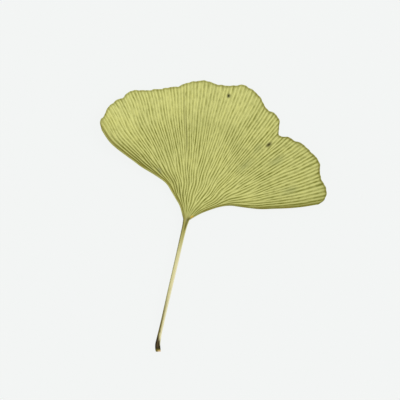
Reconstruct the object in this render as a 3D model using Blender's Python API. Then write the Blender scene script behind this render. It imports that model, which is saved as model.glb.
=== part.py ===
"""A ginkgo leaf, picked with its stalk and lying face up.

The blade is a fan. A place on it is given by two shares: across, from the left basal edge (0) to the
right one (1), and along, from the joint with the stalk (0) to the outer margin (1). Veins stand out
from both faces, run from the joint to the margin and fork on the way. The stalk is the same skin
drawn together into a round, grooved section that swells at its cut base.
"""

import math

import bpy
import numpy as np

# Fan, in metres, with angles in degrees from the stalk's line, positive to the right
FAN_LEFT = -56.2
FAN_RIGHT = 70.4
# Outer margin, left tip to right tip: (angle, reach from the joint) at each lobe, dip and notch
MARGIN = (
    (-56.2, 0.0325), (-55.2, 0.0340), (-53.5, 0.0349), (-51.5, 0.0350), (-49.0, 0.0360), (-46.0, 0.0364),
    (-43.0, 0.0366), (-40.8, 0.0364), (-37.0, 0.0371), (-33.0, 0.0365), (-30.0, 0.0358), (-26.0, 0.0355),
    (-24.0, 0.0353), (-20.0, 0.0354), (-16.5, 0.0354), (-13.0, 0.0362), (-9.0, 0.0368), (-4.5, 0.0372),
    (-1.0, 0.0368), (3.0, 0.0370), (7.0, 0.0378), (9.5, 0.0387), (13.0, 0.0387), (16.5, 0.0383),
    (20.0, 0.0373), (22.0, 0.0365), (28.0, 0.0366), (30.0, 0.0362), (32.3, 0.0347), (34.5, 0.0333),
    (38.0, 0.0348), (41.0, 0.0356), (44.0, 0.0368), (47.0, 0.0373), (50.0, 0.0379), (53.5, 0.0384),
    (57.5, 0.0376), (59.5, 0.0373), (62.0, 0.0376), (66.0, 0.0379), (68.0, 0.0373), (69.5, 0.0365),
    (70.4, 0.0353),
)
# Basal edges: (reach from the joint, angle)
LEFT_EDGE = (
    (0.0, -35.5), (0.002, -33.4), (0.0035, -33.8), (0.006, -38.0), (0.008, -40.0), (0.0105, -41.3),
    (0.014, -47.5), (0.0185, -53.6), (0.0205, -54.8), (0.024, -56.6), (0.029, -57.6), (0.0315, -56.8),
    (0.0330, -56.2), (0.040, -56.2),
)
RIGHT_EDGE = (
    (0.0, 48.0), (0.003, 50.4), (0.006, 53.3), (0.0105, 57.1), (0.0125, 59.9), (0.014, 62.7),
    (0.0185, 68.1), (0.024, 70.1), (0.031, 70.8), (0.0345, 70.5), (0.0360, 70.4), (0.041, 70.4),
)
EDGE_PULL = 5.0
MIDDLE_DRIFT = 4.0
DRIFT_SCALE = 6.75
SCALLOP = 0.00006
SCALLOPS = 31.0
FINE_SCALLOPS = 52.7
FINE_SHARE = 0.6

# Blade
BLADE_THICKNESS = 0.00066
VEIN_RISE_TOP = 0.00020
VEIN_RISE_UNDER = 0.00014
FIRST_VEINS = 6
VEIN_SPACING = 0.00088
FORK_ORDER = 0.618034
LAST_FORK = 0.036
EVENING_COLUMNS = 8.0
VEIN_START = 0.1
BLADE_ROWS = (
    0.0, 0.03, 0.06, 0.095, 0.135, 0.18, 0.23, 0.285, 0.34, 0.40,
    0.46, 0.52, 0.58, 0.64, 0.70, 0.76, 0.82, 0.88, 0.94, 1.0,
)

# Lie of the blade over the surface
REST_POINT = (0.0029, 0.0190)
REST_RADIUS = 0.0045
DISH_RADIUS = 0.028
DISH_RISE = 0.0027
WAVE_RISE = 0.0015
WAVE_CREST = -47.0
WAVE_PERIOD = 52.0
WAVE_GROWTH = 3
JOINT_LIFT = 0.0009
JOINT_LIFT_RADIUS = 0.007
ROLL_RISE = 0.0008
ROLL_WIDTH = 0.0026
ROLL_START = 0.4
ROLL_END = 0.3

# Stalk: values by distance below the joint
STALK_LENGTH = 0.0358
STALK_HALF_WIDTH = (
    (0.0, 0.00084), (0.0015, 0.00067), (0.004, 0.00059), (0.010, 0.00055), (0.020, 0.00051),
    (0.028, 0.00048), (0.0305, 0.00050), (0.0322, 0.00056), (0.0337, 0.00066), (0.0349, 0.00071),
    (0.0355, 0.00069), (0.0358, 0.00062),
)
STALK_SWAY = (
    (0.0, 0.00002), (0.004, -0.00003), (0.010, -0.00002), (0.020, -0.00005), (0.028, -0.00003),
    (0.0325, 0.0), (0.0340, 0.00010), (0.0350, 0.00036), (0.0358, 0.00066),
)
STALK_ROWS = (
    0.0358, 0.0355, 0.0350, 0.0342, 0.0332, 0.0318, 0.0295, 0.0262,
    0.0225, 0.0185, 0.0145, 0.0105, 0.007, 0.004, 0.0018,
)
STALK_FLATNESS = 0.92
STALK_SIDE = 0.07
STALK_ARCH = 0.0009
STALK_DROP = 1.6
FOOT_PLACE = 0.0349
FOOT_GAP = 0.00004
LEAN_STEP = 0.0004
LEAN_SHARE = 0.7
GROOVE_DEPTH = 0.00016
GROOVE_PLACE = 0.12
GROOVE_WIDTH = 0.30
JOINT_BLEND = 0.005
SPLAY_FADE = 6.0

# Surface
LEAF_COLOUR = (0.47, 0.47, 0.155, 1.0)
LEAF_ROUGHNESS = 0.55
SHARP_ANGLE = 50


def smooth_through(knots, at):
    """A curve through (place, value) knots, a cubic between each two, level with its neighbours' slope."""
    place, value = np.array(knots, float).T
    slope = np.gradient(value, place)
    span = np.clip(np.searchsorted(place, at) - 1, 0, len(place) - 2)
    step = place[span + 1] - place[span]
    t = np.clip((at - place[span]) / step, 0.0, 1.0)
    rise = value[span + 1] - value[span]
    start = step * slope[span]
    end = step * slope[span + 1]
    return value[span] + start * t + (3 * rise - 2 * start - end) * t**2 + (start + end - 2 * rise) * t**3


def ease(share):
    """0 below 0, 1 above 1, and a soft S between."""
    t = np.clip(share, 0.0, 1.0)
    return t * t * (3 - 2 * t)


def margin_reach(across):
    """How far the outer margin lies from the joint, with its small scallops."""
    angle = FAN_LEFT + (FAN_RIGHT - FAN_LEFT) * across
    coarse = np.sin(2 * np.pi * SCALLOPS * across)
    fine = np.sin(2 * np.pi * FINE_SCALLOPS * across + 1.0)
    return smooth_through(MARGIN, angle) + SCALLOP * (coarse + FINE_SHARE * fine)


def fan_angle(across, reach):
    """The angle of a vein's line at a reach: straight out, but drawn along a basal edge near it.

    The middle of the right half also drifts a little: across squared times its rest, scaled to 1 at most.
    """
    straight = FAN_LEFT + (FAN_RIGHT - FAN_LEFT) * across
    left = smooth_through(LEFT_EDGE, reach) - FAN_LEFT
    right = smooth_through(RIGHT_EDGE, reach) - FAN_RIGHT
    drift = MIDDLE_DRIFT * DRIFT_SCALE * across**2 * (1 - across)
    inward = np.clip(1 - reach / margin_reach(across), 0, 1)
    return straight + left * (1 - across) ** EDGE_PULL + right * across**EDGE_PULL + drift * inward


def round_section(across):
    """Where a column lies on the stalk's round section: its share of the half width and of the half height."""
    turn = np.pi * (STALK_SIDE + (1 - 2 * STALK_SIDE) * across)
    return -np.cos(turn) / math.cos(np.pi * STALK_SIDE), np.sin(turn)


def blade_plan(across, along):
    """The place of a blade point seen from above, with the joint at the origin."""
    reach = along * margin_reach(across)
    angle = np.radians(fan_angle(across, reach))
    side, _ = round_section(across)
    splay = smooth_through(STALK_HALF_WIDTH, 0.0) * side * (1 - along) ** SPLAY_FADE
    sway = smooth_through(STALK_SWAY, 0.0) * (1 - along) ** SPLAY_FADE
    return reach * np.sin(angle) + splay + sway, reach * np.cos(angle)


def blade_lie(across, along, x, y):
    """Height of the blade's underside: level round the rest point, dished, waved and rolled outwards."""
    out = np.hypot(x - REST_POINT[0], y - REST_POINT[1]) - REST_RADIUS
    dish = np.clip(out / DISH_RADIUS, 0.0, None) ** 2
    angle = FAN_LEFT + (FAN_RIGHT - FAN_LEFT) * across
    wave = (0.5 + 0.5 * np.cos(2 * np.pi * (angle - WAVE_CREST) / WAVE_PERIOD)) * along**WAVE_GROWTH
    lift = JOINT_LIFT * np.exp(-((along * margin_reach(across) / JOINT_LIFT_RADIUS) ** 2))
    edge_gap = np.radians(FAN_RIGHT - FAN_LEFT) * along * margin_reach(across) * across
    ends = ease(along / ROLL_START) * ease((1 - along) / ROLL_END)
    roll = ROLL_RISE * np.exp(-((edge_gap / ROLL_WIDTH) ** 2)) * ends
    clear = ease(out / REST_RADIUS)
    return DISH_RISE * dish + (WAVE_RISE * wave + lift + roll) * clear


def joint_height():
    """Height of the middle of the skin where blade and stalk meet."""
    underside = blade_lie(np.array([0.5]), np.array([0.0]), np.array([0.0]), np.array([0.0]))[0]
    return underside + BLADE_THICKNESS / 2


def stalk_middle(below):
    """Height of the stalk's middle: a low arch from the joint down to a base that all but touches."""
    share = below / STALK_LENGTH
    foot = STALK_FLATNESS * smooth_through(STALK_HALF_WIDTH, FOOT_PLACE) + FOOT_GAP
    return foot + (joint_height() - foot) * (1 - share**STALK_DROP) + STALK_ARCH * math.sin(math.pi * share)


def next_fork(generation, index):
    """The reach at which a vein forks.

    The veins keep about the same distance from each other at any reach. Those of a generation fork one
    after another, each a fixed share of the round after its neighbour, so that no side runs ahead.
    """
    width = math.radians(FAN_RIGHT - FAN_LEFT) / (FIRST_VEINS * 2**generation)
    return VEIN_SPACING * (1 + (FORK_ORDER * index) % 1.0) / width


def vein_rows():
    """For each blade row its veins, and for each vein the one that it grows from in the row before.

    A vein is named by its generation and its index in it, counted from the left edge.
    """
    veins = [(0, index) for index in range(FIRST_VEINS)]
    rows = [(veins, list(range(FIRST_VEINS)))]
    usual_reach = max(reach for _, reach in MARGIN)
    for along in BLADE_ROWS[1:]:
        grown, parents = [], []
        for place, (generation, index) in enumerate(veins):
            forked = next_fork(generation, index) < min(along * usual_reach, LAST_FORK)
            if forked:
                grown += [(generation + 1, 2 * index), (generation + 1, 2 * index + 1)]
            else:
                grown.append((generation, index))
            parents += [place] * (2 if forked else 1)
        veins = grown
        rows.append((veins, parents))
    return rows


def columns(veins):
    """The across share of each column of a row: a hollow, a vein, a hollow, and so on to the right edge.

    A vein of a generation has its equal share of the fan. The columns then keep even distances from
    their neighbours: how far their own places lie from even ones is averaged over the nearest columns.
    """
    shares = [0.0]
    for generation, index in veins:
        width = 1 / (FIRST_VEINS * 2**generation)
        shares += [(index + 0.5) * width, (index + 1) * width]
    own = np.array(shares)
    even = np.linspace(0.0, 1.0, len(own))
    place = np.arange(len(own))
    near = np.exp(-(((place[:, None] - place) / EVENING_COLUMNS) ** 2))
    shift = near @ (own - even) / near.sum(axis=1)
    return even + shift - shift[0] * (1 - even) - shift[-1] * even


def blade_row(veins, along):
    """The upper and lower points of one row of the blade."""
    across = columns(veins)
    vein = np.arange(len(across)) % 2
    share = np.full(len(across), along)
    x, y = blade_plan(across, share)
    under = blade_lie(across, share, x, y)
    _, tall = round_section(across)
    neck = 1 - ease(along * margin_reach(across) / JOINT_BLEND)
    half = BLADE_THICKNESS / 2
    core = STALK_FLATNESS * smooth_through(STALK_HALF_WIDTH, 0.0) * tall - half
    middle = under + half
    spread = ease(along / VEIN_START)
    top = middle + half + neck * core + VEIN_RISE_TOP * vein * spread
    low = np.maximum(middle - half - neck * core - VEIN_RISE_UNDER * vein * spread, 0.0)
    return np.column_stack([x, y, top]), np.column_stack([x, y, low])


def stalk_row(below):
    """The upper and lower points of one ring of the stalk, with the groove along its upper side.

    Where the foot hooks to the right the ring turns with it, by a share of the stalk's own turn.
    """
    across = np.linspace(0.0, 1.0, 2 * FIRST_VEINS + 1)
    side, tall = round_section(across)
    half = float(smooth_through(STALK_HALF_WIDTH, below))
    sway = float(smooth_through(STALK_SWAY, below))
    moved = sway - float(smooth_through(STALK_SWAY, below - LEAN_STEP))
    lean = LEAN_SHARE * math.atan(moved / LEAN_STEP)
    x = sway + half * side * math.cos(lean)
    y = half * side * math.sin(lean) - below
    middle = stalk_middle(below)
    groove = GROOVE_DEPTH * np.exp(-(((side - GROOVE_PLACE) / GROOVE_WIDTH) ** 2))
    fade = ease(below / JOINT_BLEND) * ease((STALK_LENGTH - below) / JOINT_BLEND)
    tall_half = STALK_FLATNESS * half * tall
    top = middle + tall_half - groove * fade
    return np.column_stack([x, y, top]), np.column_stack([x, y, middle - tall_half])


def plain_strip(below, above, count):
    """Triangles between two rows with the same columns, mirrored about each vein."""
    faces = []
    for k in range(0, count, 2):
        left, vein, right = below + k, below + k + 1, below + k + 2
        next_left, next_vein, next_right = above + k, above + k + 1, above + k + 2
        faces += [(left, vein, next_vein), (left, next_vein, next_left)]
        faces += [(vein, right, next_vein), (right, next_right, next_vein)]
    return faces


def forked_strip(below, above):
    """Triangles from one vein's columns to those of the two that it forks into."""
    left, vein, right = below, below + 1, below + 2
    outer_left, left_vein, hollow, right_vein, outer_right = (above + k for k in range(5))
    return [
        (left, left_vein, outer_left),
        (left, vein, left_vein),
        (vein, hollow, left_vein),
        (vein, right_vein, hollow),
        (vein, right, right_vein),
        (right, outer_right, right_vein),
    ]


def growing_strip(below, above, parents):
    """Triangles between two blade rows, where each vein below has one or two above it."""
    faces = []
    child = 0
    while child < len(parents):
        parent = parents[child]
        forked = parents[child : child + 2] == [parent, parent]
        if forked:
            faces += forked_strip(below + 2 * parent, above + 2 * child)
        else:
            faces += plain_strip(below + 2 * parent, above + 2 * child, 2)
        child += 2 if forked else 1
    return faces


def side_wall(starts, ends, drop):
    """The wall round the leaf's two sides, from each row's first and last column down to the lower face."""
    faces = []
    for row, following in zip(range(len(starts) - 1), range(1, len(starts))):
        a, b = starts[row], starts[following]
        faces += [(a, b, b + drop), (a, b + drop, a + drop)]
        a, b = ends[row], ends[following]
        faces += [(b, a, a + drop), (b, a + drop, b + drop)]
    return faces


def margin_wall(start, end, drop):
    """The wall along the outer margin, at the last row."""
    faces = []
    for k in range(start, end):
        faces += [(k, k + 1, k + 1 + drop), (k, k + 1 + drop, k + drop)]
    return faces


def base_scar(start, end, drop, centre):
    """The cut end of the stalk: a fan of triangles round its middle."""
    faces = [(centre, start, start + drop), (centre, end + drop, end)]
    for k in range(start, end):
        faces += [(centre, k + 1, k), (centre, k + drop, k + 1 + drop)]
    return faces


def leaf_surface():
    """Points and triangles of the whole leaf, upper face first, then the lower one, then the scar's middle."""
    rings = [stalk_row(below) for below in STALK_ROWS]
    grown = vein_rows()
    rings += [blade_row(veins, along) for (veins, _), along in zip(grown, BLADE_ROWS)]
    upper = np.vstack([top for top, _ in rings])
    lower = np.vstack([low for _, low in rings])
    sizes = [len(top) for top, _ in rings]
    starts = [int(s) for s in np.cumsum([0] + sizes[:-1])]
    ends = [start + size - 1 for start, size in zip(starts, sizes)]
    drop = len(upper)

    skin = []
    for row in range(len(rings) - 1):
        blade_index = row + 1 - len(STALK_ROWS)
        if blade_index > 0:
            skin += growing_strip(starts[row], starts[row + 1], grown[blade_index][1])
        else:
            skin += plain_strip(starts[row], starts[row + 1], sizes[row] - 1)
    faces = skin + [(c + drop, b + drop, a + drop) for a, b, c in skin]
    faces += side_wall(starts, ends, drop)
    faces += margin_wall(starts[-1], ends[-1], drop)

    scar_middle = (upper[: sizes[0]].mean(axis=0) + lower[: sizes[0]].mean(axis=0)) / 2
    faces += base_scar(starts[0], ends[0], drop, 2 * drop)
    return np.vstack([upper, lower, scar_middle]), faces


def centred(points):
    """The points moved sideways so that the origin is below the middle of their box."""
    middle = (points.min(axis=0) + points.max(axis=0)) / 2
    return points - np.array([middle[0], middle[1], 0.0])


def leaf_material():
    """A dull olive yellow skin."""
    material = bpy.data.materials.new("leaf_skin")
    material.use_nodes = True
    shader = material.node_tree.nodes["Principled BSDF"]
    shader.inputs["Base Color"].default_value = LEAF_COLOUR
    shader.inputs["Roughness"].default_value = LEAF_ROUGHNESS
    shader.inputs["Metallic"].default_value = 0.0
    material.diffuse_color = LEAF_COLOUR
    return material


def clear_scene():
    """Remove whatever the open file holds."""
    for thing in list(bpy.data.objects):
        bpy.data.objects.remove(thing, do_unlink=True)


def make_leaf():
    """The leaf as one closed object."""
    points, faces = leaf_surface()
    mesh = bpy.data.meshes.new("leaf")
    mesh.from_pydata(centred(points).tolist(), [], faces)
    mesh.materials.append(leaf_material())
    mesh.validate()
    mesh.shade_smooth()
    mesh.set_sharp_from_angle(angle=math.radians(SHARP_ANGLE))
    leaf = bpy.data.objects.new("leaf", mesh)
    bpy.context.scene.collection.objects.link(leaf)
    return leaf


clear_scene()
make_leaf()
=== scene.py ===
"""A ginkgo leaf lying face up: its fine surface, its skin, and a plain pale studio.

The blade is a fan. A place on it is given by two shares: across, from the left basal edge (0) to the
right one (1), and along, from the joint with the stalk (0) to the outer margin (1). The leaf's solid
in the frame has the same form with fewer, coarser veins; the surface made here replaces it.
"""

import logging
import math
from dataclasses import dataclass, field
from enum import Enum

import bpy
import numpy as np
from mathutils import Matrix, Vector


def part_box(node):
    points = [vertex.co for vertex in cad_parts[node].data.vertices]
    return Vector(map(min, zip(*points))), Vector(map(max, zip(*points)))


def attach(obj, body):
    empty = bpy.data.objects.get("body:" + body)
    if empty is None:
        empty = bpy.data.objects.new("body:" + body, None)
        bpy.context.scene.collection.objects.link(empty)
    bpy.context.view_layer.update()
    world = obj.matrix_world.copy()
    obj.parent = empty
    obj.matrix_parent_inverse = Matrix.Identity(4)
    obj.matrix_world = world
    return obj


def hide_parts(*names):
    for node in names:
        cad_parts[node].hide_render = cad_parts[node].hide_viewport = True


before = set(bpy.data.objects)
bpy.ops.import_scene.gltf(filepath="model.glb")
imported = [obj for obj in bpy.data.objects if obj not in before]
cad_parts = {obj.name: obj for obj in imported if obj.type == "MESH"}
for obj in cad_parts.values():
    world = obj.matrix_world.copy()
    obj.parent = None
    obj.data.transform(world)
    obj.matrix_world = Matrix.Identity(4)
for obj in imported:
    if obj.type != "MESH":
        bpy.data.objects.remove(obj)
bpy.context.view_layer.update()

LOG = logging.getLogger("leaf")

Array = np.ndarray
Knots = tuple[tuple[float, float], ...]
Colour = tuple[float, float, float, float]


def smooth_through(knots: Knots, at: Array | float) -> Array:
    """A curve through knots: between two of them a cubic whose end slopes are those of its neighbours.

    Args:
        knots: (place, value) pairs in rising order of place.
        at: the places to read.

    Returns:
        The values there; outside the knots, the first or last value.
    """
    place, value = np.array(knots, float).T
    slope = np.gradient(value, place)
    span = np.clip(np.searchsorted(place, at) - 1, 0, len(place) - 2)
    step = place[span + 1] - place[span]
    t = np.clip((at - place[span]) / step, 0.0, 1.0)
    rise = value[span + 1] - value[span]
    start = step * slope[span]
    end = step * slope[span + 1]
    return value[span] + start * t + (3 * rise - 2 * start - end) * t**2 + (start + end - 2 * rise) * t**3


def ease(share: Array | float) -> Array:
    """0 below 0, 1 above 1 and the soft S 3t² - 2t³ between."""
    t = np.clip(share, 0.0, 1.0)
    return t * t * (3 - 2 * t)


def blend(low: Array | float, high: Array | float, share: Array | float) -> Array:
    """The value a share of the way from low to high."""
    return low + (high - low) * share


def screen_colour(red: int, green: int, blue: int) -> Colour:
    """The linear colour of a screen colour given as 0 to 255."""
    shares = np.array([red, green, blue]) / 255
    linear = np.where(shares <= 0.04045, shares / 12.92, ((shares + 0.055) / 1.055) ** 2.4)
    return (float(linear[0]), float(linear[1]), float(linear[2]), 1.0)


@dataclass(frozen=True)
class Fan:
    """The blade's outline seen from above, with the joint at the origin. Angles are in degrees from
    the stalk's line, positive to the right."""

    left: float = -56.2
    right: float = 70.4
    margin: Knots = (
        (-56.2, 0.0325), (-55.2, 0.0340), (-53.5, 0.0349), (-51.5, 0.0350), (-49.0, 0.0360), (-46.0, 0.0364),
        (-43.0, 0.0366), (-40.8, 0.0364), (-37.0, 0.0371), (-33.0, 0.0365), (-30.0, 0.0358), (-26.0, 0.0355),
        (-24.0, 0.0353), (-20.0, 0.0354), (-16.5, 0.0354), (-13.0, 0.0362), (-9.0, 0.0368), (-4.5, 0.0372),
        (-1.0, 0.0368), (3.0, 0.0370), (7.0, 0.0378), (9.5, 0.0387), (13.0, 0.0387), (16.5, 0.0383),
        (20.0, 0.0373), (22.0, 0.0365), (28.0, 0.0366), (30.0, 0.0362), (32.3, 0.0347), (34.5, 0.0333),
        (38.0, 0.0348), (41.0, 0.0356), (44.0, 0.0368), (47.0, 0.0373), (50.0, 0.0379), (53.5, 0.0384),
        (57.5, 0.0376), (59.5, 0.0373), (62.0, 0.0376), (66.0, 0.0379), (68.0, 0.0373), (69.5, 0.0365),
        (70.4, 0.0353),
    )
    left_edge: Knots = (
        (0.0, -35.5), (0.002, -33.4), (0.0035, -33.8), (0.006, -38.0), (0.008, -40.0), (0.0105, -41.3),
        (0.014, -47.5), (0.0185, -53.6), (0.0205, -54.8), (0.024, -56.6), (0.029, -57.6), (0.0315, -56.8),
        (0.0330, -56.2), (0.040, -56.2),
    )
    right_edge: Knots = (
        (0.0, 48.0), (0.003, 50.4), (0.006, 53.3), (0.0105, 57.1), (0.0125, 59.9), (0.014, 62.7),
        (0.0185, 68.1), (0.024, 70.1), (0.031, 70.8), (0.0345, 70.5), (0.0360, 70.4), (0.041, 70.4),
    )
    edge_pull: float = 5.0
    middle_drift: float = 4.0
    drift_scale: float = 6.75
    scallop: float = 0.00006
    scallops: float = 31.0
    fine_scallops: float = 52.7
    fine_share: float = 0.6

    @property
    def spread(self) -> float:
        """The fan's whole angle in radians."""
        return math.radians(self.right - self.left)

    @property
    def longest(self) -> float:
        """The longest reach named on the margin."""
        return max(reach for _, reach in self.margin)

    def straight_angle(self, across: Array) -> Array:
        """The angle at which a vein meets the margin."""
        return blend(self.left, self.right, across)

    def reach(self, across: Array) -> Array:
        """How far the margin lies from the joint: the named lobes plus two sine ripples for the scallops."""
        coarse = np.sin(2 * np.pi * self.scallops * across)
        fine = np.sin(2 * np.pi * self.fine_scallops * across + 1.0)
        ripple = self.scallop * (coarse + self.fine_share * fine)
        return smooth_through(self.margin, self.straight_angle(across)) + ripple

    def angle(self, across: Array, reach: Array) -> Array:
        """The angle of a vein's line at a reach.

        The line is straight, plus each basal edge's own bend times the fifth power of the closeness
        to that edge, plus a slight drift of the right middle.

        Args:
            across: share across the fan.
            reach: distance from the joint.

        Returns:
            The angle in degrees.
        """
        left = (smooth_through(self.left_edge, reach) - self.left) * (1 - across) ** self.edge_pull
        right = (smooth_through(self.right_edge, reach) - self.right) * across**self.edge_pull
        hump = self.drift_scale * across**2 * (1 - across)
        drift = self.middle_drift * hump * np.clip(1 - reach / self.reach(across), 0, 1)
        return self.straight_angle(across) + left + right + drift


@dataclass(frozen=True)
class Stalk:
    """The stalk's line, section and groove, by distance below the joint."""

    length: float = 0.0358
    half_width: Knots = (
        (0.0, 0.00084), (0.0015, 0.00067), (0.004, 0.00059), (0.010, 0.00055), (0.020, 0.00051),
        (0.028, 0.00048), (0.0305, 0.00050), (0.0322, 0.00056), (0.0337, 0.00066), (0.0349, 0.00071),
        (0.0355, 0.00069), (0.0358, 0.00062),
    )
    sway: Knots = (
        (0.0, 0.00002), (0.004, -0.00003), (0.010, -0.00002), (0.020, -0.00005), (0.028, -0.00003),
        (0.0325, 0.0), (0.0340, 0.00010), (0.0350, 0.00036), (0.0358, 0.00066),
    )
    flatness: float = 0.92
    side_gap: float = 0.07
    arch: float = 0.0009
    drop: float = 1.6
    foot_place: float = 0.0349
    foot_gap: float = 0.00004
    lean_step: float = 0.0004
    lean_share: float = 0.7
    groove_depth: float = 0.00016
    groove_place: float = 0.12
    groove_width: float = 0.30
    joint_blend: float = 0.005
    scar_depth: float = 0.00022
    scar_scale: tuple[float, ...] = (0.06, 0.30, 0.55, 0.76, 0.90, 0.975)
    scar_share: tuple[float, ...] = (1.0, 0.95, 0.75, 0.42, 0.12, 0.0)
    foot_top: float = 0.0320
    foot_rings: int = 16
    shaft_top: float = 0.0014
    shaft_rings: int = 40

    def section(self, across: Array) -> tuple[Array, Array]:
        """Where a column lies on the round section.

        A turn runs from just past one side to just short of the other; its cosine gives the place
        sideways and its sine the place upwards.

        Args:
            across: share across the leaf.

        Returns:
            The shares of the half width and of the half height.
        """
        turn = np.pi * (self.side_gap + (1 - 2 * self.side_gap) * across)
        return -np.cos(turn) / math.cos(np.pi * self.side_gap), np.sin(turn)

    def lean(self, below: Array) -> Array:
        """The angle in radians by which a ring turns with the stalk's line, a share of the line's own."""
        moved = smooth_through(self.sway, below) - smooth_through(self.sway, below - self.lean_step)
        return self.lean_share * np.arctan(moved / self.lean_step)

    def middle(self, below: Array, joint_height: float) -> Array:
        """Height of the stalk's middle: a low arch from the joint down to a base that all but touches.

        Args:
            below: distance below the joint.
            joint_height: height of the middle of the skin at the joint.

        Returns:
            The heights.
        """
        share = below / self.length
        foot = self.flatness * float(smooth_through(self.half_width, self.foot_place)) + self.foot_gap
        return foot + (joint_height - foot) * (1 - share**self.drop) + self.arch * np.sin(np.pi * share)


@dataclass(frozen=True)
class Lie:
    """How the blade lies over the surface: level round its weight, dished, waved and rolled outwards."""

    rest_point: tuple[float, float] = (0.0029, 0.0190)
    rest_radius: float = 0.0045
    dish_radius: float = 0.028
    dish_rise: float = 0.0027
    wave_rise: float = 0.0015
    wave_crest: float = -47.0
    wave_period: float = 52.0
    wave_growth: int = 3
    joint_lift: float = 0.0009
    joint_lift_radius: float = 0.007
    roll_rise: float = 0.0008
    roll_width: float = 0.0026
    roll_start: float = 0.4
    roll_end: float = 0.3

    def height(self, fan: Fan, across: Array, along: Array, x: Array, y: Array) -> Array:
        """Height of the underside.

        The square of the distance from the rest point gives the dish, a raised cosine of the angle
        times the cube of along gives the waves, and bell curves give the lift at the joint and the
        rolled left edge.

        Args:
            fan: the outline.
            across: share across the fan.
            along: share out from the joint.
            x: place to the right of the joint.
            y: place in front of the joint.

        Returns:
            The heights.
        """
        out = np.hypot(x - self.rest_point[0], y - self.rest_point[1]) - self.rest_radius
        dish = np.clip(out / self.dish_radius, 0.0, None) ** 2
        turn = 2 * np.pi * (fan.straight_angle(across) - self.wave_crest) / self.wave_period
        wave = (0.5 + 0.5 * np.cos(turn)) * along**self.wave_growth
        reach = along * fan.reach(across)
        lift = self.joint_lift * np.exp(-((reach / self.joint_lift_radius) ** 2))
        roll = self.roll_rise * np.exp(-((fan.spread * reach * across / self.roll_width) ** 2))
        roll = roll * ease(along / self.roll_start) * ease((1 - along) / self.roll_end)
        return self.dish_rise * dish + (self.wave_rise * wave + lift + roll) * self.clear(x, y)

    def clear(self, x: Array, y: Array) -> Array:
        """0 on the level spot round the rest point, rising to 1 one more radius away."""
        out = np.hypot(x - self.rest_point[0], y - self.rest_point[1]) - self.rest_radius
        return ease(out / self.rest_radius)


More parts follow.
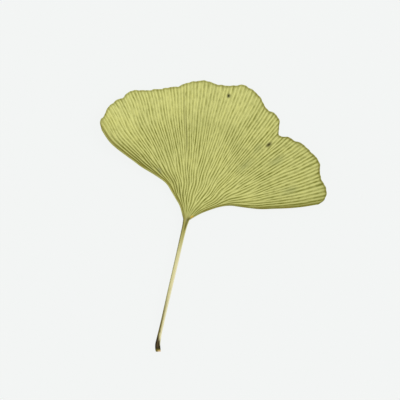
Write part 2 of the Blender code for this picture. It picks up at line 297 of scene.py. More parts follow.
@dataclass(frozen=True)
class VeinTree:
    """The veins: a few at the joint, each of which forks once there is room for two."""

    first: int = 14
    spacing: float = 0.00049
    order: float = 0.618034
    last_fork: float = 0.0185
    late_fork: float = 0.0290
    late_spans: tuple[tuple[float, float], ...] = ((-56.2, -32.0), (35.0, 53.5))
    root_closeness: float = 0.76
    root_reach: float = 0.013
    pause: float = 0.0190
    delay: float = 0.0075
    parting: float = 0.55
    longest_parting: float = 0.16
    parting_start: float = 0.03
    evening: float = 5.0
    unevenness: float = 0.30
    uneven_order: float = 0.754878
    longest: float = 0.060
    steps: int = 121

    def next_fork(self, fan: Fan, generation: int, index: Array | int) -> Array:
        """The reach at which veins fork, once they have room enough.

        Those of a generation fork one after another, each a fixed share of the round after its
        neighbour, so that no side runs ahead and the distance between veins hardly changes. The few
        that are not done by a set reach wait a while longer.

        Args:
            fan: the outline.
            generation: how often the veins' forebears have forked.
            index: their number in the generation, from the left edge.

        Returns:
            The reaches.
        """
        share = (np.atleast_1d(index)[:, None] + 0.5) / (self.first * 2**generation)
        reach = np.linspace(0.0, self.longest, self.steps)[None, :]
        half = 0.5 / (self.first * 2**generation)
        room = reach * np.radians(fan.angle(share + half, reach) - fan.angle(share - half, reach))
        room = room / blend(self.root_closeness, 1.0, ease(reach / self.root_reach))
        wanted = self.spacing * (1 + (self.order * np.atleast_1d(index)) % 1.0)
        found = np.array([np.interp(want, line, reach[0]) for want, line in zip(wanted, room)])
        return np.where(found < self.pause, found, found + self.delay)

    def grown(self, fan: Fan) -> tuple[Array, Array]:
        """Every vein at the margin, from left to right, as its generation and its index in that."""
        waiting = [(0, index) for index in reversed(range(self.first))]
        ends = []
        while waiting:
            generation, index = waiting.pop()
            angle = fan.straight_angle((index + 0.5) / (self.first * 2**generation))
            late = any(start < angle < end for start, end in self.late_spans)
            if self.next_fork(fan, generation, index)[0] < (self.late_fork if late else self.last_fork):
                waiting += [(generation + 1, 2 * index + 1), (generation + 1, 2 * index)]
            else:
                ends.append((generation, index))
        generations, indices = np.array(ends).T
        return generations, indices

    def places(self, fan: Fan, along: Array) -> Array:
        """Where each vein runs, as across shares.

        A vein of a generation has its equal share of the fan, and the two of a fork part softly. The
        veins then keep even distances from their neighbours: how far their own places lie from even
        ones is averaged over the nearest veins. Until it forks, a vein is counted once, and its
        descendants share that one. Last, each vein strays a little, by its own share of the distance
        between two, which goes round in fixed steps.

        Args:
            fan: the outline.
            along: the along share of each row.

        Returns:
            One line of across shares for each vein at the margin, and one column for each row.
        """
        generation, index = self.grown(fan)
        share = (index + 0.5) / 2.0**generation
        parted, weight = [], np.ones((len(share), len(along)))
        for level in range(1, generation.max() + 1):
            fork = self.next_fork(fan, level - 1, np.floor(share * 2 ** (level - 1))) / fan.longest
            distance = np.minimum(self.parting * fork, self.longest_parting) + self.parting_start
            done = ease((along - fork[:, None]) / distance[:, None])
            done = np.where(generation[:, None] >= level, done, 0.0)
            weight = weight * np.where(generation[:, None] >= level, 0.5 + 0.5 * done, 1.0)
            parted.append(done)
        end = np.cumsum(weight, axis=0)
        start, total = end - weight, end[-1]

        own = even = stray = own_before = even_before = stray_before = 0.0
        for level in range(generation.max() + 1):
            part = np.floor(share * 2**level)
            firsts = np.flatnonzero(np.diff(part, prepend=-1))
            lasts = np.append(firsts[1:], len(part)) - 1
            run = np.searchsorted(firsts, np.arange(len(part)), side="right") - 1
            own_here = np.repeat(((part + 0.5) / (self.first * 2**level))[:, None], len(along), axis=1)
            even_here = ((start[firsts] + end[lasts]) / 2 / total)[run]
            stray_here = ((self.uneven_order * (part + level)) % 1.0 - 0.5)[:, None]
            done = 1.0 if level == 0 else parted[level - 1]
            own, even = own + (own_here - own_before) * done, even + (even_here - even_before) * done
            stray = stray + (stray_here - stray_before) * done
            own_before, even_before, stray_before = own_here, even_here, stray_here
        places = []
        for row in range(len(along)):
            places.append(self.evened(own[:, row], even[:, row], weight[:, row]))
        return np.array(places).T + self.unevenness * stray / total

    def evened(self, own: Array, even: Array, weight: Array) -> Array:
        """Even places moved by the averaged distance to the veins' own ones.

        Args:
            own: the veins' own places in a row.
            even: places at even distances.
            weight: how much each vein counts.

        Returns:
            The places.
        """
        total = weight.sum()
        at = np.concatenate([[0.0], even, [1.0]]) * total
        near = np.exp(-(((at[:, None] - even * total) / self.evening) ** 2)) * weight
        shift = near @ (own - even) / near.sum(axis=1)
        return even + shift[1:-1] - shift[0] * (1 - even) - shift[-1] * even


class Zone(Enum):
    """A stretch of the leaf: how many of the finest columns one of its own spans, the along shares
    of its start and end, and how many rows it has."""

    STALK = (16, 0.0, 0.0, 0)
    NECK = (8, 0.0, 0.05, 7)
    ROOT = (4, 0.05, 0.12, 8)
    INNER = (2, 0.12, 0.28, 15)
    MIDDLE = (1, 0.28, 0.50, 14)
    OUTER = (1, 0.50, 0.965, 25)

    @property
    def stride(self) -> int:
        """How many of the finest columns one column of the zone spans."""
        return self.value[0]

    @property
    def rows(self) -> Array:
        """The along shares of its rows, without the row that the zone before ends with."""
        _, start, end, count = self.value
        return np.linspace(start, end, count)[0 if self is Zone.NECK else 1 :]


@dataclass
class Grid:
    """Rows of the leaf with the same columns: two faces and what the skin reads on them."""

    across: Array
    stations: Array
    points: list[Array] = field(default_factory=list)
    marks: dict[str, Array] = field(default_factory=dict)


@dataclass
class Leaf:
    """The whole leaf: blade, veins and stalk as one closed surface."""

    name: str = "ginkgo_leaf"
    fan: Fan = Fan()
    stalk: Stalk = Stalk()
    lie: Lie = Lie()
    veins: VeinTree = VeinTree()
    columns: int = 896
    solid_thickness: float = 0.00066
    solid_vein_rise: float = 0.00020
    thickness: float = 0.00036
    margin_thickness: float = 0.00013
    margin_taper: float = 0.0007
    vein_rise_top: float = 0.00012
    vein_rise_under: float = 0.00008
    vein_half_width: float = 0.00015
    hollow_spacing: float = 0.00034
    hollow_least: float = 0.6
    hollow_edge: float = 0.12
    hollow_run: float = 0.76
    hollow_start: float = 0.06
    vein_start: float = 0.1
    splay_fade: float = 6.0
    tint_reach: float = 0.003
    tint_start: float = 0.25
    far_from_side: float = 5.0
    far_from_margin: float = 35.0
    margin_rows: tuple[float, ...] = (0.978, 0.988, 0.995, 1.0)

    def blade_plan(self, across: Array, along: Array) -> tuple[Array, Array]:
        """Places seen from above: out along the vein's angle, plus the stalk's own width, which fades.

        Args:
            across: share across the fan.
            along: share out from the joint.

        Returns:
            The places to the right of the joint and in front of it.
        """
        reach = along * self.fan.reach(across)
        angle = np.radians(self.fan.angle(across, reach))
        side, _ = self.stalk.section(across)
        start = smooth_through(self.stalk.half_width, 0.0) * side + smooth_through(self.stalk.sway, 0.0)
        return reach * np.sin(angle) + start * (1 - along) ** self.splay_fade, reach * np.cos(angle)

    def joint_height(self) -> float:
        """Height of the middle of the skin where blade and stalk meet."""
        zero = np.zeros(1)
        return float(self.lie.height(self.fan, zero + 0.5, zero, zero, zero)[0]) + self.solid_thickness / 2

    def vein_gaps(self, across: Array, along: Array, width: Array) -> tuple[Array, Array]:
        """How each point lies between its two nearest veins, with the basal edges counted as veins.

        Args:
            across: across shares, one for each column.
            along: along shares, one for each row.
            width: how far one whole across share spans at each point.

        Returns:
            The distance to the nearest vein, and the distance between the two veins.
        """
        nearest, spacing = np.zeros(width.shape), np.zeros(width.shape)
        traced = self.veins.places(self.fan, along)
        for row in range(len(along)):
            lines = np.unique(np.concatenate([[0.0, 1.0], traced[:, row].round(6)]))
            right = np.clip(np.searchsorted(lines, across, side="right"), 1, len(lines) - 1)
            before, after = across - lines[right - 1], lines[right] - across
            nearest[row] = np.minimum(before, after) * width[row]
            spacing[row] = (before + after) * width[row]
        return nearest, spacing

    def square_distance(self, x: Array, y: Array, along: Array) -> Array:
        """Distance from the left edge, square to the veins.

        Each step from column to column is crossed with the veins' own direction, and the sizes of
        these products are added up from the left.

        Args:
            x: places to the right of the joint.
            y: places in front of the joint.
            along: along shares of the rows.

        Returns:
            The distances.
        """
        ahead_x, ahead_y = np.gradient(x, along, axis=0), np.gradient(y, along, axis=0)
        length = np.hypot(ahead_x, ahead_y)
        ahead_x, ahead_y = (ahead_x / length)[:, 1:], (ahead_y / length)[:, 1:]
        crossed = np.diff(x, axis=1) * ahead_y - np.diff(y, axis=1) * ahead_x
        return np.concatenate([np.zeros((len(along), 1)), np.cumsum(np.abs(crossed), axis=1)], axis=1)

    def blade_grid(self, across: Array, along: Array) -> Grid:
        """The blade's two faces over a grid of shares.

        On the level spot the lower face lies where the solid's does. Away from it the skin, which is
        thinner than the solid's, rises to the solid's upper face. It tapers to the margin from below
        and, at the neck, swells to the stalk's round section. Each vein adds a bell curve of the
        distance from it to both faces.

        Args:
            across: across shares of the columns.
            along: along shares of the rows.

        Returns:
            The grid, with marks for the skin.
        """
        s, v = np.meshgrid(across, along)
        x, y = self.blade_plan(s, v)
        steps = np.hypot(np.diff(x, axis=1), np.diff(y, axis=1))
        travelled = np.concatenate([np.zeros((len(along), 1)), np.cumsum(steps, axis=1)], axis=1)
        width = np.hypot(np.gradient(x, across, axis=1), np.gradient(y, across, axis=1))
        reach = v * self.fan.reach(s)
        from_side = np.minimum(travelled, travelled[:, -1:] - travelled)
        from_margin = (1 - v) * self.fan.reach(s)
        nearest, spacing = self.vein_gaps(across, along, width)
        square = self.square_distance(x, y, along)

        _, tall = self.stalk.section(s)
        neck = 1 - ease(reach / self.stalk.joint_blend)
        rim = np.minimum(from_side, from_margin)
        thin = blend(self.margin_thickness, self.thickness, ease(rim / self.margin_taper))
        spare = self.solid_thickness + self.solid_vein_rise - self.thickness
        lifted = spare * self.lie.clear(x, y) * (1 - neck)
        highest = self.lie.height(self.fan, s, v, x, y) + lifted + self.thickness
        solid_middle = highest - lifted - self.thickness + self.solid_thickness / 2
        round_half = self.stalk.flatness * smooth_through(self.stalk.half_width, 0.0) * tall
        bell = np.exp(-((nearest / self.vein_half_width) ** 2))
        bell = bell * ease(v / self.vein_start) * ease(rim / self.margin_taper * 2)
        top = blend(highest, solid_middle + round_half, neck) + self.vein_rise_top * bell
        low = blend(highest - thin, solid_middle - round_half, neck) - self.vein_rise_under * bell
        low = np.maximum(low, 0.0)

        hollow = ease((nearest / spacing * 2 - self.hollow_edge) / self.hollow_run)
        hollow = hollow * ease(spacing / self.hollow_spacing - self.hollow_least)
        marks = {
            "hollow": hollow * ease(v / self.hollow_start),
            "from_left": square * 1000,
            "from_right": (square[:, -1:] - square) * 1000,
            "from_margin": from_margin * 1000,
            "stalk": 1 - ease(reach / self.tint_reach + self.tint_start),
            "foot": np.zeros(s.shape),
            "across": s,
            "along": v,
        }
        return Grid(across, along, [np.dstack([x, y, top]), np.dstack([x, y, low])], marks)

    def stalk_grid(self, across: Array, below: Array, scale: Array, sunk: Array) -> Grid:
        """The stalk's upper and lower halves as rings below the joint.

        Each ring is an ellipse, with a bell curve cut out of its upper side for the groove.

        Args:
            across: across shares of the columns.
            below: distance of each ring below the joint.
            scale: size of each ring against the stalk's own, under 1 on the scar.
            sunk: how far each ring of the scar is set back into the stalk.

        Returns:
            The grid, with marks for the skin.
        """
        s, d = np.meshgrid(across, below)
        size = np.broadcast_to(scale[:, None], s.shape)
        side, tall = self.stalk.section(s)
        half = smooth_through(self.stalk.half_width, d) * size
        lean = self.stalk.lean(d)
        x = smooth_through(self.stalk.sway, d) + half * side * np.cos(lean)
        y = half * side * np.sin(lean) - d + np.broadcast_to(sunk[:, None], s.shape)
        middle = self.stalk.middle(d, self.joint_height())
        dip = np.exp(-(((side - self.stalk.groove_place) / self.stalk.groove_width) ** 2))
        fade = ease(d / self.stalk.joint_blend) * ease((self.stalk.length - d) / self.stalk.joint_blend)
        tall_half = self.stalk.flatness * half * tall
        top = middle + tall_half - self.stalk.groove_depth * dip * fade
        even = {"hollow": 0.0, "from_margin": self.far_from_margin, "stalk": 1.0}
        even |= {"from_left": self.far_from_side, "from_right": self.far_from_side}
        marks = {name: np.full(s.shape, value) for name, value in even.items()}
        marks |= {
            "foot": np.where(size < 1, 1.0 + (1 - size), d / self.stalk.length),
            "across": s,
            "along": -d / self.fan.longest,
        }
        return Grid(across, -below, [np.dstack([x, y, top]), np.dstack([x, y, middle - tall_half])], marks)

    def zones(self) -> list[tuple[Zone, Grid]]:
        """The leaf from the scar to the margin, with more columns from zone to zone.

        Returns:
            Each zone with its grid.
        """
        finest, stalk = np.linspace(0.0, 1.0, self.columns + 1), self.stalk
        foot = np.linspace(stalk.length, stalk.foot_top, stalk.foot_rings)
        shaft = np.linspace(stalk.foot_top, stalk.shaft_top, stalk.shaft_rings)[1:]
        below = np.concatenate([np.full(len(stalk.scar_scale), stalk.length), foot, shaft])
        rest = len(foot) + len(shaft)
        scale = np.concatenate([stalk.scar_scale, np.ones(rest)])
        sunk = np.concatenate([stalk.scar_depth * np.array(stalk.scar_share), np.zeros(rest)])
        made = [(Zone.STALK, self.stalk_grid(finest[:: Zone.STALK.stride], below, scale, sunk))]
        for zone in list(Zone)[1:]:
            along = np.append(zone.rows, self.margin_rows if zone is Zone.OUTER else ())
            made.append((zone, self.blade_grid(finest[:: zone.stride], along)))
        return made

    def surface(self) -> tuple[Array, list[tuple[int, ...]], dict[str, Array]]:
        """Points, faces and marks of the closed surface.

        Within a zone, four neighbours make a face. Between zones, each coarse column meets two finer
        ones by three triangles. The upper face is copied, turned over, for the lower one, and walls
        join them at the sides, the margin and the scar.

        Returns:
            The points, the faces and the marks by name.
        """
        zones = self.zones()
        upper = np.concatenate([grid.points[0].reshape(-1, 3) for _, grid in zones])
        lower = np.concatenate([grid.points[1].reshape(-1, 3) for _, grid in zones])
        drop = len(upper)
        faces: list[Array] = []
        first_column, last_column = [], []
        offset, last_row = 0, None
        for _, grid in zones:
            rows, columns = len(grid.stations), len(grid.across)
            index = offset + np.arange(rows * columns).reshape(rows, columns)
            if last_row is not None:
                faces.append(joining_faces(last_row, index[0]))
            square = np.stack([index[:-1, :-1], index[:-1, 1:], index[1:, 1:], index[1:, :-1]], axis=-1)
            faces.append(square.reshape(-1, 4))
            first_column.append(index[:, 0])
            last_column.append(index[:, -1])
            offset, last_row = offset + rows * columns, index[-1]
        skin = [tuple(face) for block in faces for face in block.tolist()]
        skin += [tuple(c + drop for c in reversed(face)) for face in skin]
        skin += wall(np.concatenate(first_column), drop)
        skin += wall(np.concatenate(last_column)[::-1], drop)
        skin += wall(last_row, drop)
        start = np.arange(len(zones[0][1].across))
        skin.append(tuple(start[::-1].tolist()) + tuple((start + drop).tolist()))

        marks = {
            name: np.tile(np.concatenate([grid.marks[name].reshape(-1) for _, grid in zones]), 2)
            for name in zones[0][1].marks
        }
        marks["under"] = np.repeat([0.0, 1.0], drop)
        return np.concatenate([upper, lower]), skin, marks

    def build(self) -> tuple[bpy.types.Object, tuple[float, float]]:
        """Make the leaf, with the middle of its box over the middle of the solid's.

        Returns:
            The leaf, and where its joint lies in the frame.
        """
        points, faces, marks = self.surface()
        low, high = (np.array(corner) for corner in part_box("leaf"))
        shift = (low + high) / 2 - (points.min(axis=0) + points.max(axis=0)) / 2
        shift[2] = 0.0
        mesh = bpy.data.meshes.new(self.name)
        mesh.from_pydata(np.clip(points + shift, low, high).tolist(), [], faces)
        mesh.shade_smooth()
        for name, values in marks.items():
            mesh.attributes.new(name, "FLOAT", "POINT").data.foreach_set("value", values.astype(np.float32))
        leaf = bpy.data.objects.new(self.name, mesh)
        bpy.context.scene.collection.objects.link(leaf)
        return leaf, (float(shift[0]), float(shift[1]))


def joining_faces(coarse: Array, fine: Array) -> Array:
    """The triangles between a row and the next one, which has the same or twice the columns.

    Args:
        coarse: point numbers of the nearer row.
        fine: point numbers of the further row.

    Returns:
        The faces, turned as the upper skin is.
    """
    if len(fine) == len(coarse):
        return np.stack([coarse[:-1], coarse[1:], fine[1:], fine[:-1]], axis=-1)
    left, right = coarse[:-1], coarse[1:]
    start, halfway, end = fine[:-1:2], fine[1::2], fine[2::2]
    parts = [(left, halfway, start), (left, right, halfway), (right, end, halfway)]
    return np.concatenate([np.stack(part, axis=-1) for part in parts])


def wall(edge: Array, drop: int) -> list[tuple[int, ...]]:
    """Faces from an edge of the upper skin down to the same edge of the lower one."""
    a, b = edge[:-1], edge[1:]
    return [tuple(face) for face in np.stack([a, b, b + drop, a + drop], axis=-1).tolist()]


@dataclass(frozen=True)
class Wire:
    """One value in a material. Arithmetic on it adds Math nodes."""

    board: "Board"
    socket: bpy.types.NodeSocket

    def __add__(self, other: "Wire | float") -> "Wire":
        """The sum."""
        return self.board.maths("ADD", self, other)

    __radd__ = __add__

    def __sub__(self, other: "Wire | float") -> "Wire":
        """The difference."""
        return self.board.maths("SUBTRACT", self, other)

    def __rsub__(self, other: float) -> "Wire":
        """The difference from a number."""
        return self.board.maths("SUBTRACT", other, self)

    def __mul__(self, other: "Wire | float") -> "Wire":
        """The product."""
        return self.board.maths("MULTIPLY", self, other)

    __rmul__ = __mul__

    def fit(self, low: float, high: float) -> "Wire":
        """A soft step between two values; low may be the larger.

        Args:
            low: where the step is 0.
            high: where it is 1.

        Returns:
            The step.
        """
        first, last = sorted((low, high))
        settings = {"interpolation_type": "SMOOTHSTEP"}
        values = {"Value": self, "From Min": first, "From Max": last}
        step = self.board.node("ShaderNodeMapRange", settings, values, "Result")
        return step if low < high else 1 - step


class Board:
    """A material's nodes."""

    def __init__(self, name: str) -> None:
        """Start a material with only its output.

        Args:
            name: the material's name.
        """
        self.material = bpy.data.materials.new(name)
        self.material.use_nodes = True
        self.tree = self.material.node_tree
        self.tree.nodes.clear()

    def node(self, kind: str, settings: dict, values: dict, output: str | int = 0) -> Wire:
        """Add a node.

        Args:
            kind: the node's type.
            settings: the node's own properties, set first.
            values: its sockets by name or number, each a wire or a plain value.
            output: the name or number of the socket to read.

        Returns:
            The wire from that output.
        """
        made = self.tree.nodes.new(kind)
        for name, value in settings.items():
            setattr(made, name, value)
        for name, value in values.items():
            socket = made.inputs[name]
            if isinstance(value, Wire):
                self.tree.links.new(value.socket, socket)
            else:
                socket.default_value = value
        return Wire(self, made.outputs[output])

    def maths(self, operation: str, first: Wire | float, second: Wire | float) -> Wire:
        """A Math node on two values."""
        return self.node("ShaderNodeMath", {"operation": operation}, {0: first, 1: second})

    def mix(self, share: Wire | float, first: Wire | Colour, second: Wire | Colour) -> Wire:
        """Two colours mixed.

        Args:
            share: how much of the second one.
            first: the colour at 0.
            second: the colour at 1.

        Returns:
            The mixed colour.
        """
        settings = {"data_type": "RGBA", "blend_type": "MIX", "clamp_factor": True}
        return self.node("ShaderNodeMix", settings, {0: share, 6: first, 7: second}, 2)

    def mark(self, name: str) -> Wire:
        """A value kept on the mesh's points."""
        return self.node("ShaderNodeAttribute", {"attribute_name": name}, {}, "Fac")

    def point(self) -> Wire:
        """The place on the object, in metres."""
        return self.node("ShaderNodeTexCoord", {}, {}, "Object")

    def place(self, x: Wire, y: Wire, z: Wire | float = 0.0) -> Wire:
        """A place put together from three values."""
        return self.node("ShaderNodeCombineXYZ", {}, {"X": x, "Y": y, "Z": z})

    def noise(self, where: Wire, scale: float, detail: float = 2.0, roughness: float = 0.5) -> Wire:
        """Soft random blotches from 0 to 1, mostly near a half."""
        values = {"Vector": where, "Scale": scale, "Detail": detail, "Roughness": roughness}
        return self.node("ShaderNodeTexNoise", {"noise_dimensions": "3D"}, values, "Fac")

    def near(self, centre: tuple[float, float], radii: tuple[float, float], turn: float) -> Wire:
        """1 at a place on the leaf and 0 outside an ellipse round it.

        Args:
            centre: the place in the frame, seen from above.
            radii: the ellipse's half length and half width.
            turn: the angle of its length from the stalk's line, in degrees, clockwise.

        Returns:
            The closeness.
        """
        settings = {"vector_type": "TEXTURE"}
        values = {
            "Vector": self.point(),
            "Location": (centre[0], centre[1], 0.0),
            "Rotation": (0.0, 0.0, -math.radians(turn)),
            "Scale": (radii[1], radii[0], 1.0),
        }
        local = self.node("ShaderNodeMapping", settings, values)
        length = self.node("ShaderNodeVectorMath", {"operation": "LENGTH"}, {0: local}, "Value")
        return length.fit(1.0, 0.0)

    def finish(self, **sockets: Wire | float | Colour) -> bpy.types.Material:
        """Close the material with one Principled shader.

        Args:
            sockets: the shader's inputs, with underscores for blanks.

        Returns:
            The material.
        """
        values = {name.replace("_", " "): value for name, value in sockets.items()}
        shader = self.node("ShaderNodeBsdfPrincipled", {}, values)
        out = self.tree.nodes.new("ShaderNodeOutputMaterial")
        self.tree.links.new(shader.socket, out.inputs["Surface"])
        return self.material


SMUDGE = screen_colour(146, 152, 92)


@dataclass(frozen=True)
class Patch:
    """A stain, a tint or a spot of painted shade: where it lies from the joint, its half length and half
    width, and its colour.
    """

    centre: tuple[float, float]
    radii: tuple[float, float]
    turn: float
    colour: Colour
    strength: float


@dataclass(frozen=True)
class SideLine:
    """The dark line beside a basal edge: where it starts and ends, in millimetres from the edge, by how
    much it rises from its start, its least share and the share of the broader band in the outer half."""

    mark: str
    start: tuple[float, float]
    end: tuple[float, float]
    rise: float
    least: float
    band: float


@dataclass(frozen=True)
class LeafSkin:
    """Olive yellow skin with pale veins, darker hollows, a dark margin line and a browning stalk, with
    painted shade along a crease, the left basal edge and the stalk, and a painted highlight on the stalk's
    right side.
    """

    vein: Colour = screen_colour(213, 213, 134)
    hollow: Colour = screen_colour(103, 105, 4)
    # painted shade, used along a crease and beside the left basal edge
    painted_shade: Colour = screen_colour(88, 86, 24)
    yellow: Colour = screen_colour(216, 214, 124)
    dull: Colour = screen_colour(150, 155, 86)
    quiet: Colour = screen_colour(164, 164, 88)
    edge_line: Colour = screen_colour(116, 114, 40)
    edge_brown: Colour = screen_colour(146, 122, 46)
    stalk_top: Colour = screen_colour(168, 162, 90)
    stalk_middle: Colour = screen_colour(208, 202, 146)
    # the stalk's own cream colour, partly a painted highlight on its right side
    stalk_cream_highlight: Colour = screen_colour(228, 219, 176)
    stalk_shade: Colour = screen_colour(106, 96, 34)
    # painted shade for the stalk's left side and its groove
    stalk_fold_shade: Colour = screen_colour(92, 88, 30)
    foot: Colour = screen_colour(36, 27, 0)
    foot_middle: Colour = screen_colour(80, 66, 40)
    foot_end: Colour = screen_colour(138, 128, 52)
    scar: Colour = screen_colour(226, 190, 140)
    side_lines: tuple[SideLine, ...] = (
        SideLine("from_left", (0.14, 0.46), (0.84, 0.55), 0.85, 0.52, 0.05),
        SideLine("from_right", (0.04, 0.34), (0.68, 0.36), 0.58, 0.52, 0.35),
    )
    usual_depth: float = 0.49
    region_share: float = 1.08
    vein_unevenness: float = 0.92
    dash_unevenness: float = 1.5
    # where the painted shade of the crease runs, and how narrow it is
    crease_place: float = 0.335
    crease_sharpness: float = 150.0
    fibre_strength: float = 0.25
    fibre_height: float = 0.00004
    vein_roughness: float = 0.50
    hollow_roughness: float = 0.12
    gloss: float = 0.12
    patches: tuple[Patch, ...] = (
        Patch((0.0036, 0.0345), (0.00095, 0.00080), 5.0, screen_colour(30, 33, 0), 1.0),
        Patch((0.0169, 0.0243), (0.00145, 0.00080), 40.0, screen_colour(58, 52, 0), 1.0),
        Patch((-0.0076, 0.0324), (0.0009, 0.0004), -12.0, screen_colour(120, 120, 50), 0.6),
        Patch((-0.0098, 0.0111), (0.0013, 0.0007), -40.0, screen_colour(112, 114, 84), 0.5),
        Patch((0.0120, 0.0176), (0.0034, 0.0017), 35.0, SMUDGE, 0.45),
        Patch((0.0199, 0.0206), (0.0034, 0.0017), 46.0, SMUDGE, 0.50),
        Patch((0.0251, 0.0138), (0.0036, 0.0017), 60.0, SMUDGE, 0.45),
        Patch((0.0143, 0.0228), (0.0026, 0.0015), 33.0, SMUDGE, 0.40),
        Patch((0.0013, 0.0011), (0.0007, 0.0004), 50.0, screen_colour(214, 160, 30), 0.7),
        # painted shade where the stalk's groove opens into the blade
        Patch((0.00054, 0.00026), (0.0008, 0.0004), 15.0, screen_colour(96, 90, 26), 0.8),
        Patch((0.00006, -0.0001), (0.0006, 0.0003), 0.0, screen_colour(138, 132, 108), 0.6),
    )

    def depth(self, board: Board) -> Wire:
        """How dark the hollows are, unevenly: more to the right, at the base and beside the basal edges,
        less in the upper middle, at the left tip and right at the left edge.

        Args:
            board: the material.

        Returns:
            The share of the hollow's colour.
        """
        across, along = board.mark("across"), board.mark("along")
        strength = board.noise(board.place(across * 60.0, along * 4.0, 4.0), 1.0, 2.0) - 0.5
        dashes = board.noise(board.place(across * 110.0, along * 17.0, 9.0), 1.0, 2.0, 0.6) - 0.5
        right = across.fit(0.49, 0.66) * 0.14
        base = along.fit(0.92, 0.60) * (across.fit(0.60, 0.40) * 0.14 + 0.08) + along.fit(0.50, 0.25) * 0.06
        tip = across.fit(0.30, 0.18) * along.fit(0.70, 0.85) * 0.05
        middle = across.fit(0.27, 0.38) * across.fit(0.60, 0.48) * along.fit(0.45, 0.75) * 0.16
        # the painted shade beside the left basal edge also darkens the hollows there
        sides = self.near_left(board) * 0.30 + board.mark("from_right").fit(2.7, 0.0) * 0.25
        bare = board.mark("from_left").fit(0.50, 0.20) * along.fit(0.95, 0.60) * 0.40
        uneven = strength * self.vein_unevenness + dashes * self.dash_unevenness
        return uneven + (right + base + sides - tip - middle - bare) * self.region_share + self.usual_depth

    def near_left(self, board: Board) -> Wire:
        """The shade along the left basal edge, from near the joint to short of the tip.

        Args:
            board: the material.

        Returns:
            The shade, from 0 to 1.
        """
        side, reach = board.mark("from_left"), board.mark("along")
        root = reach.fit(0.46, 0.34) * side.fit(1.9, 1.1) * 0.6
        shade = side.fit(4.2, 0.2) * (side.fit(0.05, 0.50) * 0.85 + 0.15)
        return shade * reach.fit(0.08, 0.22) * reach.fit(0.92, 0.55) * (1 - root)

    def stripes(self, board: Board) -> Wire:
        """Pale veins and darker hollows, with streaks that run along them.

        Args:
            board: the material.

        Returns:
            The colour.
        """
        across, along = board.mark("across"), board.mark("along")
        hollow = board.mark("hollow") * self.depth(board)
        skin = board.mix(hollow, self.vein, self.hollow)
        streak = board.noise(board.place(across * 170.0, along * 22.0), 1.0, 3.0, 0.65)
        skin = board.mix(streak.fit(0.5, 0.75) * 0.5, skin, self.yellow)
        return board.mix(streak.fit(0.5, 0.22) * 0.5, skin, self.hollow)

    def crease_shade(self, board: Board) -> Wire:
        """Painted shade along a crease that runs out from the joint, left of the middle.

        Args:
            board: the material.

        Returns:
            1 on the crease and 0 off it.
        """
        across, along = board.mark("across"), board.mark("along")
        wander = board.noise(board.place(along * 3.0, 0.0, 5.0), 1.0, 1.0) - 0.5
        off = (across + wander * 0.02 - self.crease_place) * self.crease_sharpness
        return (off * off).fit(1.0, 0.0) * along.fit(0.15, 0.30) * along.fit(0.98, 0.80)

    def tints(self, board: Board, skin: Wire) -> Wire:
        """The quieter inner left and root, painted shade along a crease, and broad unevenness over the blade.

        Args:
            board: the material.
            skin: the colour so far.

        Returns:
            The colour.
        """
        across, along = board.mark("across"), board.mark("along")
        inner = across.fit(0.62, 0.40) * along.fit(0.92, 0.65) * 0.10
        skin = board.mix(inner + along.fit(0.12, 0.05) * 0.12, skin, self.quiet)
        # painted shade along the crease, darker in the hollows
        skin = board.mix(self.crease_shade(board) * (board.mark("hollow") * 0.35 + 0.15), skin, self.painted_shade)
        broad = board.noise(board.point(), 90.0, 2.0)
        skin = board.mix(broad.fit(0.5, 0.75) * 0.25, skin, self.yellow)
        return board.mix(broad.fit(0.5, 0.25) * 0.20, skin, self.dull)

    def borders(self, board: Board, skin: Wire) -> Wire:
        """The shaded left basal edge and the dark line all round, broader along the basal edges.

        Args:
            board: the material.
            skin: the colour so far.

        Returns:
            The colour.
        """
        hollow, across = board.mark("hollow"), board.mark("across")
        # painted shade beside the left basal edge, darker in the hollows
        skin = board.mix(self.near_left(board) * (hollow * 0.7 + 0.15), skin, self.painted_shade)
        wear = board.noise(board.place(across * 30.0, 0.0), 1.0, 2.0)
        outer = board.mark("from_margin")
        amount = across.fit(0.3, 0.8) * 0.28 + wear.fit(0.3, 0.7) * 0.24 + 0.30
        skin = board.mix(outer.fit(1.2, 0.3) * amount * 0.35, skin, self.edge_line)
        line = board.mix(wear.fit(0.50, 0.68) * 0.4, self.edge_line, self.edge_brown)
        skin = board.mix(outer.fit(0.66, 0.32) * (outer.fit(0.04, 0.28) * 0.5 + 0.5) * amount, skin, line)
        grain = board.noise(board.place(across * 4.0, board.mark("along") * 14.0, 2.0), 1.0, 2.0)
        gold = board.mix(grain.fit(0.35, 0.65) * 0.3, self.edge_line, self.edge_brown)
        outer_half = board.mark("along").fit(0.40, 0.60)
        for line in self.side_lines:
            side = board.mark(line.mark)
            skin = board.mix(side.fit(4.0, 0.1) * 0.20, skin, self.edge_line)
            skin = board.mix(side.fit(1.1, 0.5) * outer_half * line.band, skin, self.edge_line)
            shade = side.fit(*line.end) * (side.fit(*line.start) * line.rise + 1 - line.rise)
            skin = board.mix(shade * (grain.fit(0.3, 0.6) * 0.35 + line.least), skin, gold)
        return skin

    def stains_and_shade(self, board: Board, skin: Wire, joint: tuple[float, float]) -> Wire:
        """The named patches, on blade and stalk: stains, tints and painted shade.

        Args:
            board: the material.
            skin: the colour so far.
            joint: where the joint lies in the frame.

        Returns:
            The colour.
        """
        for patch in self.patches:
            centre = (patch.centre[0] + joint[0], patch.centre[1] + joint[1])
            near = board.near(centre, patch.radii, patch.turn) * patch.strength
            skin = board.mix(near, skin, patch.colour)
        return skin

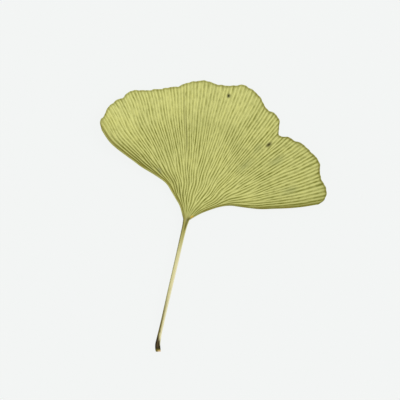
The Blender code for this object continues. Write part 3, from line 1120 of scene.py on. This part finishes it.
    def stalk_skin(self, board: Board) -> Wire:
        """Olive with dark sides at the joint (painted shade on the left and in the groove), pale on the right
        further down (its own cream, partly painted highlight), then dark at the foot.

        Args:
            board: the material.

        Returns:
            The colour.
        """
        across, foot = board.mark("across"), board.mark("foot")
        grain = board.noise(board.place(across * 7.0, foot * 22.0), 1.0, 3.0, 0.6) - 0.5
        side = across + grain * 0.5
        skin = board.mix(foot.fit(0.05, 0.32), self.stalk_top, self.stalk_middle)
        # pale right side: the stalk's own cream and partly painted highlight
        skin = board.mix(foot.fit(0.12, 0.36) * side.fit(0.40, 0.75), skin, self.stalk_cream_highlight)
        # painted shade down the left side and in the groove near the joint
        left_edge_shade = foot.fit(0.34, 0.12) * side.fit(0.30, 0.12) * 0.8
        fold_shade = foot.fit(0.13, 0.06) * side.fit(0.42, 0.60) * (side + foot * 5.0).fit(1.25, 0.85) * 0.9
        for shade in (left_edge_shade, fold_shade):
            skin = board.mix(shade, skin, self.stalk_fold_shade)
        left_shade = side.fit(0.34, 0.10) * 0.45
        low_shade = foot.fit(0.45, 0.85) * side.fit(0.66, 0.34)
        for shade in (left_shade, low_shade):
            skin = board.mix(shade, skin, self.stalk_shade)
        middle = across.fit(0.22, 0.42) * across.fit(0.70, 0.5) * foot.fit(0.985, 0.96)
        core = board.mix(middle, self.foot, self.foot_middle)
        dark = (foot + grain * 0.06 - across * 0.05).fit(0.85, 0.905)
        skin = board.mix(dark, skin, core)
        rim = across.fit(0.72, 0.92) * foot.fit(0.970, 0.935) * 0.75
        skin = board.mix(rim, skin, self.stalk_middle)
        left_end = foot.fit(0.972, 0.995) * 0.8
        skin = board.mix(left_end, skin, self.foot_end)
        return board.mix(foot.fit(0.984, 0.997) * across.fit(0.30, 0.62) * 0.9, skin, self.scar)

    def material(self, joint: tuple[float, float]) -> bpy.types.Material:
        """The finished skin.

        Args:
            joint: where the joint lies in the frame.

        Returns:
            The material.
        """
        board = Board("leaf_skin")
        skin = self.borders(board, self.tints(board, self.stripes(board)))
        skin = board.mix(board.mark("under") * 0.35, skin, self.dull)
        whole = self.stains_and_shade(board, board.mix(board.mark("stalk"), skin, self.stalk_skin(board)), joint)
        fibre = board.noise(board.place(board.mark("across") * 300.0, board.mark("along") * 60.0), 1.0, 2.0)
        relief = {"Strength": self.fibre_strength, "Distance": self.fibre_height, "Height": fibre}
        bump = board.node("ShaderNodeBump", {}, relief, "Normal")
        roughness = self.vein_roughness + self.hollow_roughness * board.mark("hollow")
        return board.finish(Base_Color=whole, Roughness=roughness, Normal=bump, Specular_IOR_Level=self.gloss)


@dataclass(frozen=True)
class Studio:
    """A pale floor, soft light from all round with a little more from the right, and the camera."""

    floor_side: float = 4.0
    floor_colour: Colour = (0.03, 0.031, 0.030, 1.0)
    floor_glow: Colour = (0.866, 0.882, 0.875, 1.0)
    sky_colour: Colour = (1.0, 1.0, 1.0, 1.0)
    sky_strength: float = 0.70
    lamp_place: tuple[float, float, float] = (1.1, 0.7, 1.6)
    lamp_side: float = 1.2
    lamp_power: float = 19.0
    photo_width: float = 0.1062
    photo_turn: float = 13.0
    photo_middle: tuple[float, float] = (0.0024, 0.0059)
    camera_height: float = 1.20
    sensor: float = 36.0

    def floor(self) -> None:
        """A level square under the leaf."""
        half = self.floor_side / 2
        corners = [(-half, -half, 0.0), (half, -half, 0.0), (half, half, 0.0), (-half, half, 0.0)]
        mesh = bpy.data.meshes.new("floor")
        mesh.from_pydata(corners, [], [(0, 1, 2, 3)])
        board = Board("floor_paper")
        paper = board.finish(
            Base_Color=self.floor_colour,
            Roughness=0.9,
            Specular_IOR_Level=0.0,
            Emission_Color=self.floor_glow,
            Emission_Strength=1.0,
        )
        mesh.materials.append(paper)
        floor = bpy.data.objects.new("floor", mesh)
        bpy.context.scene.collection.objects.link(floor)

    def light(self) -> None:
        """Even light from the whole sky and one broad lamp, which faces the leaf."""
        world = bpy.data.worlds.new("studio")
        world.use_nodes = True
        sky = world.node_tree.nodes["Background"]
        sky.inputs["Color"].default_value = self.sky_colour
        sky.inputs["Strength"].default_value = self.sky_strength
        bpy.context.scene.world = world
        lamp_data = bpy.data.lights.new("lamp", "AREA")
        lamp_data.size = self.lamp_side
        lamp_data.energy = self.lamp_power
        lamp = bpy.data.objects.new("lamp", lamp_data)
        place = Vector(self.lamp_place)
        lamp.matrix_world = Matrix.Translation(place) @ place.to_track_quat("Z", "Y").to_matrix().to_4x4()
        bpy.context.scene.collection.objects.link(lamp)

    def camera(self, joint: tuple[float, float]) -> None:
        """The camera straight above, turned so that the stalk leans as in the photo.

        Args:
            joint: where the joint lies in the frame.
        """
        data = bpy.data.cameras.new("camera")
        data.sensor_width = self.sensor
        data.lens = self.sensor * self.camera_height / self.photo_width
        camera = bpy.data.objects.new("camera", data)
        x, y = joint[0] + self.photo_middle[0], joint[1] + self.photo_middle[1]
        turn = Matrix.Rotation(math.radians(self.photo_turn), 4, "Z")
        camera.matrix_world = Matrix.Translation((x, y, self.camera_height)) @ turn
        bpy.context.scene.collection.objects.link(camera)
        bpy.context.scene.camera = camera

    def build(self, joint: tuple[float, float]) -> None:
        """Set up the floor, the light and the camera."""
        self.floor()
        self.light()
        self.camera(joint)
        bpy.context.scene.view_settings.view_transform = "Standard"


def main() -> None:
    """Build the leaf and its studio."""
    logging.basicConfig(level=logging.INFO, format="%(message)s")
    piece, joint = Leaf().build()
    piece.data.materials.append(LeafSkin().material(joint))
    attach(piece, "root")
    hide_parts("leaf")
    LOG.info("%s: %d points, %d faces", piece.name, len(piece.data.vertices), len(piece.data.polygons))
    Studio().build(joint)


if __name__ == "__main__":
    main()
